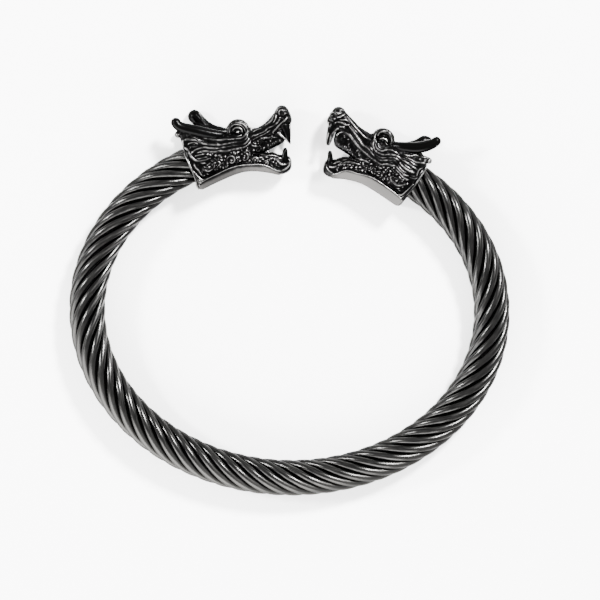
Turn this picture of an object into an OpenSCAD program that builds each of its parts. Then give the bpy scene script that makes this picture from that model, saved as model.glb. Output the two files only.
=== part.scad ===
// Open bangle of twisted wire cable, lying on its side, with a cast dragon head on each end.
// The hoop lies in the XY plane, its opening towards +Y, and rests on the plane Z = 0.

/* [Hoop] */
// Half of the hoop's long axis, to the middle of the cable
hoop_long = 34.5; // [32:0.5:38]
// Half of the hoop's short axis, to the middle of the cable
hoop_short = 28.5; // [26:0.5:32]
// Turn of the long axis, its right end dipping away from the gap
hoop_turn = 1.4; // [0:0.1:4]
// Angle round the hoop where the left head begins
left_end = 120.4; // [116:0.2:124]
// Angle round the hoop where the right head begins
right_end = 52.4; // [48:0.2:56]

/* [Cable] */
// Distance from the middle of the cable to the middle of a strand
lay_radius = 2.4; // [2.2:0.05:2.6]
// Half thickness of a strand, measured away from the middle of the cable
strand_thick = 0.68; // [0.5:0.02:0.75]
// Half width of a strand, measured round the cable, where the slanted wire is cut across
strand_wide = 0.82; // [0.6:0.02:0.86]
// Flat sides of a strand
strand_sides = 6; // [5:1:8]
// Turn of the whole lay round the cable
lay_start = 10; // [0:1:40]
// Radius of the core wire
core_r = 1.45; // [1:0.05:1.5]
// Flat sides of the core wire
core_sides = 6; // [6:1:12]
// Stations along the cable
stations = 58; // [48:2:90]

/* [Heads] */
// How much further the heads lean outwards than the cable's ends
nod = 0.8; // [0:0.2:4]
// How far the left head sits inwards of the cable's middle
left_drop = 0.7; // [0:0.05:1]
// How far the right head sits inwards of the cable's middle
right_drop = 0.3; // [0:0.05:1]
// Length of the core wire that sits inside each head
pin_depth = 3; // [1.5:0.5:4]
// Clearance all round between pieces that meet
joint_gap = 0.05; // [0.03:0.01:0.1]
// Squareness of the skull's cross-section, where 2 is an oval
squareness = 3; // [2:0.5:5]
// Radius of a mane lock
lock_r = 0.33; // [0.2:0.01:0.4]
// Mane locks on each side
locks = 5; // [3:1:6]
// Least distance of the mane from the head's middle
mane_out = 2.6; // [2:0.1:2.8]
// Distance of the mane's back from the head's middle
mane_in = 1.2; // [0.5:0.1:1.8]
// Radius of the brow ring round each eye
brow_r = 1.42; // [1.2:0.02:1.6]
// Thickness of the brow ring, as a radius
brow_thick = 0.36; // [0.25:0.01:0.45]
// Radius of the eyeball
eye_r = 0.85; // [0.6:0.05:1]
// Thickness of the curls on the cheek and jaw, as a radius
curl_thick = 0.24; // [0.15:0.01:0.3]
// Depth of the slanted rim round the underside plate
rim = 0.9; // [0.5:0.1:1.2]

/* [Hidden] */
STRANDS = 9;

wire_colour = [0.2, 0.2, 0.21];
cast_colour = [0.16, 0.16, 0.17];

// Place of the hoop's middle, which puts the origin under the middle of the whole bangle
hoop_x = 0;
hoop_y = -1.8;
// Height of the cable's middle above the surface that the bangle rests on
axis_z = 3.48;

// Turns of the lay along the cable, from the left end (0) to the right end (1)
lay = [
    [0, 0], [0.076, 0.43], [0.152, 0.81], [0.304, 1.61], [0.379, 2.02],
    [0.531, 2.95], [0.607, 3.4], [0.721, 4.1], [0.835, 4.76], [1, 5.7],
];

// Skull and snout, in the head's own frame: X forward from the collar, Y away from the wrist, Z to the side
// columns: forward, top, bottom, half width
skull = [
    [0.0, 3.9, -3.4, 3.1],
    [0.9, 4.6, -3.2, 3.15],
    [2.2, 5.1, -3.1, 3.15],
    [4.2, 4.7, -3.1, 3.1],
    [6.4, 4.1, -3.2, 3.0],
    [8.4, 3.3, -3.3, 2.9],
    [10.2, 2.4, -3.1, 2.75],
    [11.8, 1.55, -2.75, 2.4],
    [13.6, 1.4, -2.5, 2.05],
    [15.3, 1.6, -2.5, 1.85],
    [16.3, 2.2, -2.4, 1.8],
    [17.3, 3.0, -1.5, 1.75],
    [18.3, 3.2, -0.7, 1.5],
    [18.9, 2.7, 0.2, 1.15],
    [19.15, 1.9, 0.9, 0.6],
];
// Lower jaw, whose sections slant
// columns: top forward, top height, bottom forward, bottom height, half width
jaw = [
    [7.6, -1.8, 7.0, -3.7, 2.7],
    [10.0, -2.2, 9.0, -4.3, 2.55],
    [12.0, -2.65, 10.9, -5.5, 2.35],
    [13.6, -3.3, 12.3, -6.7, 2.15],
    [14.7, -4.3, 13.3, -7.5, 2.05],
    [15.5, -5.0, 14.5, -7.55, 1.75],
    [15.85, -5.8, 15.4, -6.9, 1.1],
];
// Smooth plate along the underside
// columns: bottom forward, bottom height, rim forward, rim height, half width at the rim
plate = [
    [0.0, -3.97, 0.0, -2.6, 3.45],
    [3.4, -3.9, 3.4, -2.55, 3.4],
    [6.8, -4.0, 6.9, -2.7, 3.2],
    [8.8, -4.5, 9.2, -3.6, 2.95],
    [11.0, -5.8, 11.5, -4.8, 2.6],
    [13.3, -7.6, 13.4, -6.7, 2.3],
    [14.4, -7.65, 14.7, -7.1, 1.9],
];
// Uppermost and lowest mane lock, from the front of the eye back to the tips
// columns: forward, height
mane_top = [[11.3, 2.6], [10.6, 1.3], [9.5, 0.9], [7.4, 1.7], [5.5, 2.9], [3.4, 4.7], [1.3, 6.0], [0.0, 6.4]];
mane_low = [[11.7, 1.5], [10.9, -0.1], [9.4, -0.5], [7.1, -0.2], [4.7, 1.1], [2.7, 2.4], [1.2, 2.5], [0.2, 2.2]];
// Short lock behind the cheek
beard = [[6.2, -0.4], [4.6, 0.3], [3.0, 0.5], [1.6, 0.9], [0.6, 1.2]];
// Lip over the upper teeth, and the ridge along the snout
lip = [[11.6, -1.6], [13.4, -1.9], [15.2, -1.9], [16.6, -1.3], [17.7, -0.2]];
ridge = [[12.2, 0.9], [13.8, 0.7], [15.4, 0.9], [16.6, 1.7], [17.4, 2.6]];
// Curls on the cheek and jaw
// columns: forward, height, out, radius
curls = [[6.9, -1.4, 3.05, 0.62], [9.1, -1.8, 2.85, 0.62], [10.5, -3.4, 2.5, 0.5], [12.0, -4.4, 2.3, 0.5]];
// Middle of each eye, to the side of the head
eye = [10.05, 2.4, 2.45];
// Where the round disc behind the brow ring starts, and the eyeball's back and front from the eye's middle
brow_in = 0.5;
eye_back = [-0.3, -0.1, -0.3];
eye_front = [-0.3, -0.1, 0.1];
// Curve of a horn before it bends to its own tip, and the places of the tips
horn_root = [9.2, 2.4, 1.6];
horn_bend = [5.0, 4.0, 2.3];
near_tip = [0.95, 8.35, 2.5];
left_far_tip = [4.0, 8.1, 2.3];
right_far_tip = [3.3, 6.6, 2.3];
// How a horn comes up to its tip, and its thickness from root to tip, as radii
horn_lift = [1, -3, 0];
horn_r = [0.7, 0.95, 0.9, 0.8, 0.7, 0.64];
// Thickness of the rounded horn tips
near_tip_r = 0.7;
left_far_r = 0.95;
right_far_r = 0.8;
// Upper and lower fang
// columns: place of the root, radius, place of the point, radius
fangs = [
    [[17.5, -0.7, 1.2], 0.7, [16.95, -3.25, 1.4], 0.14],
    [[15.2, -5.2, 1.25], 0.5, [15.85, -3.8, 1.3], 0.24],
];
// Swelling round each nostril, from its middle to its side
// columns: place, radius
nose_swell = [[[18.0, 2.2, 0.6], 1.15], [[17.7, 2.0, 1.1], 0.95]];
// Least distance of the snout's raised lines from the head's middle
snout_least = 1.2;
// How far raised lines thin out at their ends
thin_end = 0.6;

// Flat sides of the larger sections, of rings and of small round parts
section_sides = 12;
curl_sides = 7;
horn_sides = 7;
ball_sides = 8;

// The right head is a shorter casting: how far its upper and lower features move forward and up
// columns: forward, move forward, move up
right_upper = [
    [0, 0, -0.4], [2.5, -0.2, 0], [5, -0.8, 0.6], [8, -1.2, 0.3], [10, -1.2, 0.8],
    [11.7, -0.9, 1.2], [13.5, -0.9, 0.9], [15.5, -0.7, 1], [17, -0.5, 0.3], [19, -0.6, 0.2],
];
right_lower = [
    [0, 0, -0.7], [4.4, 0.2, -0.8], [8.8, 0, -0.7], [12, -0.6, 0],
    [13.5, -1, 0.2], [15.5, -1.2, -0.2], [17, -1.1, 0.3],
];
// How far its mane hangs lower towards the collar
// columns: forward, move up
right_mane = [[0, -1], [1.5, -1.4], [4, -0.7], [7, 0]];
// Heights between which the lower moves give way to the upper ones
fade_low = -3.5;
fade_high = 1;

// Angle round the hoop at a station, from the left end round the bottom to the right end
function hoop_angle(i) = left_end + (360 + right_end - left_end) * i / stations;
function turned(p) =
    [p.x * cos(hoop_turn) + p.y * sin(hoop_turn), p.y * cos(hoop_turn) - p.x * sin(hoop_turn), 0];
function middle(i) =
    let (a = hoop_angle(i)) [hoop_x, hoop_y, axis_z] + turned([hoop_long * cos(a), hoop_short * sin(a)]);
function along(i) =
    let (a = hoop_angle(i), d = turned([-hoop_long * sin(a), hoop_short * cos(a)])) d / norm(d);
function outward(i) = let (d = along(i)) [d.y, -d.x, 0];

// Length of cable up to each station, and the turn of the lay there
lengths = [for (i = 0, s = 0; i <= stations; s = s + norm(middle(i + 1) - middle(i)), i = i + 1) s];
function lay_angle(i) = 360 * lookup(lengths[i] / lengths[stations], lay);

// The cable's ends are cut to the slant of the heads' back faces
function end_cut(i, out) =
    i == 0 ? joint_gap + out * tan(nod) :
    i == stations ? -joint_gap - out * tan(nod) : 0;

// One point of the cable at a station, from its distances outwards and upwards
function cable_point(i, out, up) = middle(i) + outward(i) * out + [0, 0, up] + along(i) * end_cut(i, out);

// Direction in which a head points, leaning outwards from the cable's end
function facing(i, way) = along(i) * way * cos(nod) + outward(i) * sin(nod);

// Closed skin over a list of rings that all have the same number of points
module skin(rings) {
    n = len(rings[0]);
    last = len(rings) - 1;
    polyhedron(
        points = [for (ring = rings) each ring],
        faces = concat(
            [[for (j = [0:n - 1]) j]],
            [[for (j = [0:n - 1]) last * n + n - 1 - j]],
            [for (i = [0:last - 1], j = [0:n - 1], half = [0, 1])
                let (a = i * n + j, b = i * n + (j + 1) % n)
                half == 0 ? [a, a + n, b] : [b, a + n, b + n]]
        )
    );
}

// Ring of a strand where the cable is cut across
function strand_ring(i, index) =
    let (a = lay_start + 360 * index / STRANDS - lay_angle(i))
    [for (j = [0:strand_sides - 1])
        let (
            b = -360 * j / strand_sides,
            r = lay_radius + strand_thick * cos(b),
            side = strand_wide * sin(b)
        )
        cable_point(i, r * cos(a) - side * sin(a), r * sin(a) + side * cos(a))];

module strand(index) {
    color(wire_colour)
    skin([for (i = [0:stations]) strand_ring(i, index)]);
}

function core_ring(i, reach) =
    [for (j = [0:core_sides - 1])
        let (a = -360 * j / core_sides) cable_point(i, core_r * cos(a), core_r * sin(a)) + reach];

module core() {
    color(wire_colour)
    skin(concat(
        [core_ring(0, facing(0, -1) * pin_depth)],
        [for (i = [0:2:stations]) core_ring(i, [0, 0, 0])],
        [core_ring(stations, facing(stations, 1) * pin_depth)]
    ));
}

// A place on the head where this casting has it
function cast_at(p) =
    let (
        f = min(1, max(0, (p.y - fade_low) / (fade_high - fade_low))),
        up = [lookup(p.x, column(right_upper, 1)), lookup(p.x, column(right_upper, 2)), 0],
        low = [lookup(p.x, column(right_lower, 1)), lookup(p.x, column(right_lower, 2)), 0]
    )
    $short ? p + low + (up - low) * f : p;

// A place on the mane, in the plane of the head
function mane_at(p) = $short ? p + [0, lookup(p.x, right_mane)] : p;

// Half width of the skull at a place on its side
function column(table, c) = [for (row = table) [row[0], row[c]]];
function flank(x, y) =
    let (
        top = lookup(x, column(skull, 1)),
        bottom = lookup(x, column(skull, 2)),
        off = min(1, abs(2 * y - top - bottom) / (top - bottom))
    )
    lookup(x, column(skull, 3)) * pow(1 - pow(off, squareness), 1 / squareness);

function signed_pow(v, e) = sign(v) * pow(abs(v), e);

// Rounded cross-section between a top and a bottom point
function section(top, bottom, half) =
    [for (j = [0:section_sides - 1])
        let (
            a = -360 * j / section_sides,
            p = (top + bottom) / 2 + (top - bottom) / 2 * signed_pow(sin(a), 2 / squareness)
        )
        cast_at([p.x, p.y, half * signed_pow(cos(a), 2 / squareness)])];

// Round bar along a path that lies beside the head, its thickness in step with the path
module bar(path, radii, sides = 4) {
    last = len(path) - 1;
    skin([for (i = [0:last])
        let (
            d = path[min(last, i + 1)] - path[max(0, i - 1)],
            t = d / norm(d),
            n = cross([0, 0, 1], t) / norm(cross([0, 0, 1], t)),
            b = cross(t, n)
        )
        [for (j = [0:sides - 1])
            let (a = 360 * j / sides) path[i] + radii[i] * (n * cos(a) + b * sin(a))]]);
}

// Raised line that follows the head's side and thins out at both ends
module relief(line, r, least) {
    last = len(line) - 1;
    bar(
        [for (p = line) cast_at([p.x, p.y, max(flank(p.x, p.y), least)])],
        [for (i = [0:last]) r * (i == 0 || i == last ? thin_end : 1)]
    );
}

module skull() {
    skin([for (row = skull) section([row[0], row[1]], [row[0], row[2]], row[3])]);
}

module jaw() {
    skin([for (row = jaw) section([row[0], row[1]], [row[2], row[3]], row[4])]);
}

module plate() {
    skin([for (row = plate)
        let (low = row[4] - rim, top = row[3] + rim, tuck = row[4] - rim / 2)
        [for (p = [
            [row[0], row[1], -low],
            [row[2], row[3], -row[4]],
            [row[2], top, -tuck],
            [row[2], top, tuck],
            [row[2], row[3], row[4]],
            [row[0], row[1], low],
        ]) cast_at(p)]]);
}

module ring(place, r, thick, around) {
    translate(cast_at(place))
    rotate_extrude($fn = around)
    translate([r, 0])
    circle(thick, $fn = 4);
}

module ball(place, r) {
    translate(cast_at(place))
    sphere(r, $fn = ball_sides);
}

module brow() {
    ring(eye, brow_r, brow_thick, section_sides);
    translate(cast_at([eye.x, eye.y, brow_in]))
    cylinder(h = eye.z - brow_in, r = brow_r, $fn = section_sides);
    hull() {
        ball(eye + eye_back, eye_r);
        ball(eye + eye_front, eye_r - 0.1);
    }
}

// Horn that sweeps back from behind the eye and bends up to its rounded tip
module horn(tip, tip_r) {
    last = len(horn_r) - 1;
    lift = tip + horn_lift;
    bar(
        [for (i = [0:last])
            let (f = i / last, g = 1 - f, near = 3 * g * g * f, far = 3 * g * f * f)
            cast_at(g * g * g * horn_root + near * horn_bend + far * lift + f * f * f * tip)],
        [for (i = [0:last]) i < last ? max(horn_r[i], tip_r * 0.95) : tip_r * 0.9], horn_sides
    );
    ball(tip, tip_r);
}

// Each fang tapers from its root to its point
module fang(row) {
    hull() {
        ball(row[0], row[1]);
        ball(row[2], row[3]);
    }
}

module nostril() {
    hull() for (row = nose_swell) ball(row[0], row[1]);
}

// Locks that fan back from the eye, as one sheet with a ridge along each lock
module mane() {
    folds = 2 * locks;
    skin([for (i = [0:len(mane_top) - 1])
        let (top = mane_at(mane_top[i]), low = mane_at(mane_low[i]))
        concat(
            [for (p = [top, low]) cast_at([p.x, p.y, mane_in])],
            [for (k = [0:folds])
                let (
                    p = low + (top - low) * k / folds,
                    rise = k % 2 == 1 ? lock_r : -joint_gap
                )
                cast_at([p.x, p.y, max(flank(p.x, p.y), mane_out) + rise])]
        )]);
    relief([for (p = beard) mane_at(p)], lock_r, mane_out);
}

// Everything that is alike on both sides of a head
module head_side() {
    brow();
    mane();
    relief(lip, lock_r, snout_least);
    relief(ridge, lock_r, snout_least);
    for (c = curls) ring([c[0], c[1], c[2]], c[3], curl_thick, curl_sides);
    for (row = fangs) fang(row);
    nostril();
}

module head(far_tip, far_r, drop) {
    difference() {
        union() {
            skull();
            jaw();
            plate();
            horn(near_tip, near_tip_r);
            mirror([0, 0, 1]) horn(far_tip, far_r);
            head_side();
            mirror([0, 0, 1]) head_side();
        }
        translate([-1, drop, 0])
        rotate([0, 90, 0])
        cylinder(h = pin_depth + 1 + joint_gap, r = core_r + joint_gap, $fn = 16);
    }
}

module left_head() {
    d = facing(0, -1);
    color(cast_colour)
    translate(middle(0))
    rotate([0, 0, atan2(d.y, d.x)])
    translate([0, -left_drop, 0])
    head(left_far_tip, left_far_r, left_drop, $short = false);
}

module right_head() {
    d = facing(stations, 1);
    color(cast_colour)
    translate(middle(stations))
    rotate([0, 0, atan2(d.y, d.x) - 180])
    mirror([1, 0, 0])
    translate([0, -right_drop, 0])
    head(right_far_tip, right_far_r, right_drop, $short = true);
}

core();
for (i = [1:STRANDS])
    strand(i);
left_head();
right_head();
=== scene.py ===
import math
import random

import bpy
import numpy as np
from mathutils import Matrix, Vector
from mathutils.bvhtree import BVHTree


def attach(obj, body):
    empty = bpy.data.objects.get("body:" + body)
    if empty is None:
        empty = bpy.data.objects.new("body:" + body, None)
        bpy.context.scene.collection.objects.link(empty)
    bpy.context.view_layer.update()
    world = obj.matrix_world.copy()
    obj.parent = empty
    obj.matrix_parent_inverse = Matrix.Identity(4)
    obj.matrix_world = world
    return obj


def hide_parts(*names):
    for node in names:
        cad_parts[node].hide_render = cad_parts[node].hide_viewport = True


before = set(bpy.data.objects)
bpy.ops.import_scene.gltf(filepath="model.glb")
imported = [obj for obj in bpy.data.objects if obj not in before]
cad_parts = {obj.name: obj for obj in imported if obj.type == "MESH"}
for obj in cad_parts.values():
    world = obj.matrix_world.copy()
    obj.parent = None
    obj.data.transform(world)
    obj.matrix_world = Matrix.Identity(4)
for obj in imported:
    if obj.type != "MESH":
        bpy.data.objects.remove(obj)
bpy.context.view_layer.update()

# The bangle lies on its side: X runs across the hoop, Y towards the gap between the heads, Z up.
# Everything is modelled in millimetres and brought to metres when it is settled in its place.
MM = 0.001

# ---------------- measures

# Hoop: half axes to the middle of the cable, turn of the long axis, and where the heads begin
HOOP_LONG, HOOP_SHORT, HOOP_TURN = 34.5, 28.5, 1.4
LEFT_END, RIGHT_END = 120.4, 52.4
# Ends of the cable at the left and the right head: share of the way round, and the way out of the cable
ENDS = ((0, -1), (1, 1))
HOOP_MIDDLE = Vector((0, -1.8, 3.48))
# Degrees that the heads lean outwards, and how far they sit towards the wrist
NOD = 0.8
LEFT_DROP, RIGHT_DROP = 0.7, 0.3

# Cable: nine round wires laid round a core
WIRES = 9
LAY_RADIUS = 2.4
WIRE_RADIUS = 0.69
LAY_START = 10
# Turns of the lay against the share of the cable's length, the share it is carried on past both ends, and its easing
LAY = (
    (0, 0.076, 0.152, 0.304, 0.379, 0.531, 0.607, 0.721, 0.835, 1),
    (0, 0.43, 0.81, 1.61, 2.02, 2.95, 3.4, 4.1, 4.76, 5.7),
)
LAY_PAST, LAY_EASE = 0.05, 0.025
CABLE_LENGTH = 158
# Steps of each wire, the share by which it first runs into the heads, and how near their back faces it is cut
CABLE_STEPS, PAST_END, CUT_REACH = 300, 0.02, 8
JOINT_GAP = 0.05
# Way from the hoop's middle to the part of its outside that is painted with a paler satin sheen, standing in for light
# reflected from the lower left
PAINTED_SHEEN_SIDE = (-0.37, -0.93, 0)
# Shares of the cable's half width between which the painted sheen sets in, and how fast it ends round the hoop
PAINTED_SHEEN_FROM, PAINTED_SHEEN_TO, PAINTED_SHEEN_EDGE = -0.1, 0.6, 1.5

# Mesh of a head: grain size, number of triangles kept, and steps of smoothing that its relief is read from
VOXEL = 0.07
HEAD_TRIANGLES = 190000
FINE_STEPS, BROAD_STEPS = 7, 66
SMOOTHING = 0.6
# Uneven skin of the casting: name, size, height
SKIN = (("lumps", 0.6, 0.13), ("pits", 0.25, 0.055))
# Distance from which points are laid on a form, least distance from the middle that counts as its side, and the
# one at which its outline is sought otherwise
FAR, SIDE_FROM, OUTLINE_FROM = 12, 0.4, 1.4
# How deep raised lines are sunk and how thick their ends are, in shares of their radius
LINE_SUNK, CURL_SUNK, CROWN_SUNK, FOLD_SUNK = 0.3, 0.2, 0.45, 0.35
LINE_END, FOLD_END = 0.55, 0.6
# How near a point lies to the plate, a horn or a tooth to be part of it
PLATE_NEAR, HORN_NEAR, TOOTH_NEAR = 0.15, 0.1, 0.07

# Heads, in their own frame: X forward from the collar, Y away from the wrist, Z to the side
# Skull and snout: forward, top, bottom, half width
SKULL = (
    (0, 3.9, -3.4, 3.1), (0.25, 4.1, -3.4, 3.12), (0.9, 4.5, -3.2, 3.15), (2.2, 4.9, -3.1, 3.15),
    (4.2, 4.6, -3.1, 3.1), (6.4, 4, -3.2, 2.95), (8.4, 3.2, -3.2, 2.8), (10.2, 2.3, -3, 2.55), (11.8, 1.5, -2.2, 2.2),
    (13.6, 1.45, -1, 2), (15.3, 1.8, -0.7, 1.85), (16.3, 2.35, -0.7, 1.8), (17.3, 2.95, -0.5, 1.75),
    (18.3, 3.15, -0.2, 1.5), (18.9, 2.65, 0.4, 1.15), (19.1, 1.9, 1, 0.6),
)
# Palate, under the snout and drawn in from its sides
PALATE = (
    (9, 0.5, -2.8, 2), (11.8, 0.4, -2.75, 1.85), (13.6, 0.3, -2.7, 1.7), (15.3, 0.3, -2.7, 1.6),
    (16.3, 0.3, -2.65, 1.5), (16.9, 0.4, -1.6, 1.3),
)
# Lower jaw, whose sections slant: top forward, top, bottom forward, bottom, half width
JAW = (
    (7.6, -1.8, 7, -3.7, 2.7), (10, -2.2, 9, -4.3, 2.5), (12, -2.65, 10.9, -5.5, 2.3), (13.6, -3.4, 12.3, -6.7, 2.1),
    (14.7, -4.4, 13.3, -7.45, 2), (15.6, -4.85, 14.5, -7.6, 1.75), (16.1, -5.35, 15.6, -7, 1.25),
)
# Smooth plate along the underside: bottom forward, bottom, rim forward, rim, half width
PLATE = (
    (-0.45, -3.35, -0.4, -2.7, 3.4), (-0.25, -3.75, -0.15, -2.7, 3.44), (0.2, -3.97, 0.3, -2.7, 3.45),
    (3.4, -3.92, 3.4, -2.6, 3.4), (6.8, -4, 6.9, -2.75, 3.2), (8.8, -4.5, 9.2, -3.5, 2.95),
    (11, -5.8, 11.5, -4.7, 2.6), (12.9, -7.3, 13.2, -6.6, 2.2), (13.8, -7.3, 14, -6.9, 1.6),
)
PLATE_BEVEL = 0.9
# Top of the plate above its rim, and how far it is drawn in
PLATE_TOP, PLATE_TOP_IN = 0.4, 0.7
# Start of the satin below the rim on each head, and how it fades there and past the tip
SATIN_DROP, SHORT_SATIN_DROP, SATIN_FADE, TIP_REACH, TIP_FADE = 0.34, 0.12, 0.16, 0.3, 0.5
# How far the shorter head's plate is let down, up to the chin and at it
CHIN, SHORT_PLATE_DROP, SHORT_CHIN_DROP = 12, 0.28, 0.1
# Raised bed of the mane: forward, top, bottom
MANE = (
    (0.35, 6.75, 1.6), (1.2, 6.65, 1), (2.6, 5.4, 0.5), (4.7, 3.6, 0.7), (7.4, 2, 0), (9.2, 1.4, -0.25),
    (10.6, 1.3, -0.2), (11.4, 1.9, 0.6),
)
# Distances from the head's middle: inside, then outside against the way forward
MANE_IN, MANE_OUT = 1.2, ((0, 4, 9), (3.1, 3.05, 2.65))

# Brow rings and eyes: middle of the ring, middle of the eye
LEFT_BROW = ((9.8, 2.45), (9.7, 2.3))
RIGHT_BROW = ((8.78, 2.95), (8.6, 2.45))
BROW_RADIUS, BROW_Z = 1.56, 1.95
FOREHEAD, PUPIL = (1.85, 1.75, 1.2), (0.44, 0.44, 0.5)
# Knobs at the rear of the mane: middle and half sizes
LEFT_KNOB = ((0.45, 6.3, 2.3), (0.62, 0.58, 0.7))
RIGHT_KNOB = ((0.42, 4.5, 2.3), (0.55, 0.52, 0.7))
# Swellings of the nose and the upper lip: middle and half sizes
LEFT_NOSE = (
    ((17.95, 2.1, 0.75), (1.15, 1.25, 1.1)), ((18.2, 1.45, 0.5), (0.88, 0.9, 1.15)),
    ((18.05, 0.75, 0.5), (0.95, 1.1, 1.25)),
)
RIGHT_NOSE = (
    ((17.5, 2.3, 0.75), (1.2, 1.25, 1.1)), ((17.87, 1.6, 0.5), (0.88, 0.9, 1.15)),
    ((17.7, 0.95, 0.5), (0.95, 1.15, 1.25)),
)
# Fangs of one side and the thin folds of gum by them: forward, up, side, radius
TOOTH = 0.4
LEFT_FANGS = (
    ((17.35, 0, 1, 0.85), (17.3, -0.8, 1.1, 0.76), (17.15, -1.6, 1.25, 0.58), (17.02, -2.4, 1.35, 0.38),
     (16.93, -3.05, 1.4, 0.2), (16.9, -3.4, 1.4, 0.06)),
    ((15.85, -0.6, 1.5, 0.2), (16.1, -1.2, 1.55, 0.19), (16.45, -2, 1.6, 0.17), (16.75, -2.8, 1.55, 0.14),
     (16.88, -3.2, 1.45, 0.08)),
    ((18.3, -0.3, 1.2, 0.16), (18, -0.9, 1.4, 0.15), (17.65, -1.7, 1.5, 0.14), (17.3, -2.5, 1.5, 0.1)),
    ((14.6, -5.6, 1.2, 0.7), (14.95, -5.1, 1.25, 0.66), (15.3, -4.55, 1.3, 0.54), (15.6, -4.05, 1.35, 0.44),
     (15.72, -3.8, 1.35, 0.36), (15.78, -3.55, 1.35, 0.2)),
)
RIGHT_FANGS = (
    ((17.3, 0.4, 1, 0.8), (16.95, -0.6, 1.1, 0.72), (16.6, -1.5, 1.25, 0.62), (16.3, -2.3, 1.3, 0.5),
     (16.1, -2.8, 1.35, 0.38), (16.02, -3.12, 1.35, 0.2)),
    ((15.95, 0.6, 1.4, 0.26), (16.35, -0.2, 1.65, 0.24), (16.45, -1.1, 1.75, 0.22), (16.25, -1.9, 1.75, 0.2),
     (15.98, -2.6, 1.65, 0.18), (15.9, -2.95, 1.5, 0.1)),
    ((18.1, 0.2, 1.3, 0.2), (17.45, -0.5, 1.5, 0.2), (17.05, -1.2, 1.65, 0.18), (16.75, -2, 1.7, 0.16),
     (16.4, -2.8, 1.6, 0.1)),
    ((13.9, -5.5, 1.2, 0.6), (14.2, -5, 1.25, 0.56), (14.5, -4.5, 1.3, 0.46), (14.82, -4.1, 1.35, 0.4),
     (14.95, -3.85, 1.35, 0.34), (15, -3.62, 1.35, 0.18)),
)
# Lines of the collar that grips the cable: radius, then forward, up and side of each point
LEFT_COLLAR = (
    (0.18, (0.05, 2.9, 2.5), (0.03, 1.5, 3.05), (0, 0, 3.2), (-0.04, -1, 3.22), (-0.16, -2.2, 3.22),
     (-0.38, -3.1, 3.2), (-0.3, -3.6, 3)),
    (0.14, (0.15, -0.5, 3.22), (0.3, -1.1, 3.24), (0.55, -1.8, 3.26), (0.8, -2.3, 3.28), (1.2, -2.55, 3.28),
     (1.9, -2.62, 3.28)),
    (0.12, (0.02, -0.9, 3.26), (0.1, -1.7, 3.28), (0.12, -2.5, 3.3), (0.02, -3.2, 3.28)),
    (0.11, (0.2, -1.6, 3.26), (0.35, -2.3, 3.28), (0.45, -2.9, 3.3)),
)
RIGHT_COLLAR = (
    (0.18, (0.15, 3.2, 2.5), (0.1, 1.5, 3.05), (0.06, 0, 3.2), (0.1, -1, 3.22), (0.2, -2.2, 3.25), (0.33, -3, 3.27),
     (0.5, -3.7, 3.27)),
    (0.14, (0.35, -0.2, 3.22), (0.5, -1.1, 3.24), (0.7, -2, 3.27), (0.95, -2.8, 3.28), (1.5, -3.25, 3.28)),
    (0.12, (0.28, -1.2, 3.25), (0.45, -2.2, 3.28), (0.65, -3.1, 3.3), (0.9, -3.6, 3.3)),
    (0.12, (0, -0.6, 3.22), (0.02, -1.8, 3.24), (0.1, -2.8, 3.26), (0.2, -3.6, 3.26)),
)
# Pearls between the curls: forward, up, radius
LEFT_PEARLS = (
    (2.9, -0.95, 0.2), (4, -0.75, 0.2), (4.7, 0.4, 0.17), (5.2, 0.12, 0.16), (3.6, 1.15, 0.16), (4.35, 0.85, 0.14),
    (5.3, -0.75, 0.18), (5, -2.1, 0.2), (7.8, -0.75, 0.17), (7.75, -1.5, 0.18), (9.75, -1.15, 0.18), (9.9, -2, 0.2),
    (8.1, -2.75, 0.16), (9.5, -2.9, 0.17), (11.1, -3.75, 0.16), (10.9, -1.6, 0.16), (6.75, -1.55, 0.2),
    (8.85, -2.05, 0.22), (10.4, -3.25, 0.15), (11.8, -4.45, 0.15), (12.6, -2, 0.13),
)
RIGHT_PEARLS = (
    (3, -1.35, 0.2), (5.6, -1.35, 0.17), (6.5, -1.2, 0.15), (6.2, -2, 0.16), (7.2, -1.3, 0.14), (7.1, -2.6, 0.15),
    (8.3, -2.7, 0.17), (9.4, -3, 0.15), (9.9, -3.4, 0.16), (10.6, -3.9, 0.15), (5, -2.5, 0.14), (2, -2.3, 0.13),
    (4.6, -1.2, 0.14), (7.6, -2, 0.15),
)

# Horns, from behind the brow to the tip: forward, up, side, radius. The near one comes first.
LEFT_HORNS = (
    ((7.7, 2.8, 1.5, 0.5), (7, 3.05, 1.9, 0.74), (6, 3.6, 2.1, 0.86), (4.8, 4.45, 2.25, 0.93), (3.6, 5.4, 2.35, 0.96),
     (2.5, 6.25, 2.4, 0.94), (1.6, 7, 2.45, 0.9), (1.1, 7.65, 2.5, 0.87), (0.95, 8.25, 2.5, 0.86)),
    ((8, 3, -1.4, 0.6), (7, 3.6, -1.8, 0.88), (6, 4.3, -2, 1), (5.2, 5.2, -2.2, 1.08), (4.65, 6.2, -2.3, 1.12),
     (4.35, 7.1, -2.3, 1.14), (4.1, 7.85, -2.3, 1.15)),
)
RIGHT_HORNS = (
    ((7.2, 3, -1.4, 0.5), (6.5, 3.35, -1.75, 0.72), (5.6, 3.8, -2.05, 0.86), (4.5, 4.4, -2.2, 0.95),
     (3.4, 5.15, -2.3, 0.98), (2.5, 5.98, -2.35, 0.97), (1.93, 6.7, -2.4, 0.93), (1.5, 7.35, -2.45, 0.85),
     (1.28, 7.98, -2.45, 0.78)),
    ((7.4, 3, 1.4, 0.7), (6, 3.35, 1.8, 0.9), (4.7, 4, 2.1, 1.1), (3.7, 4.9, 2.25, 1.15), (3.15, 5.8, 2.3, 1.1),
     (2.95, 6.4, 2.3, 1.03), (2.75, 6.82, 2.35, 0.98), (2.35, 7.05, 2.35, 0.86)),
)
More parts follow.
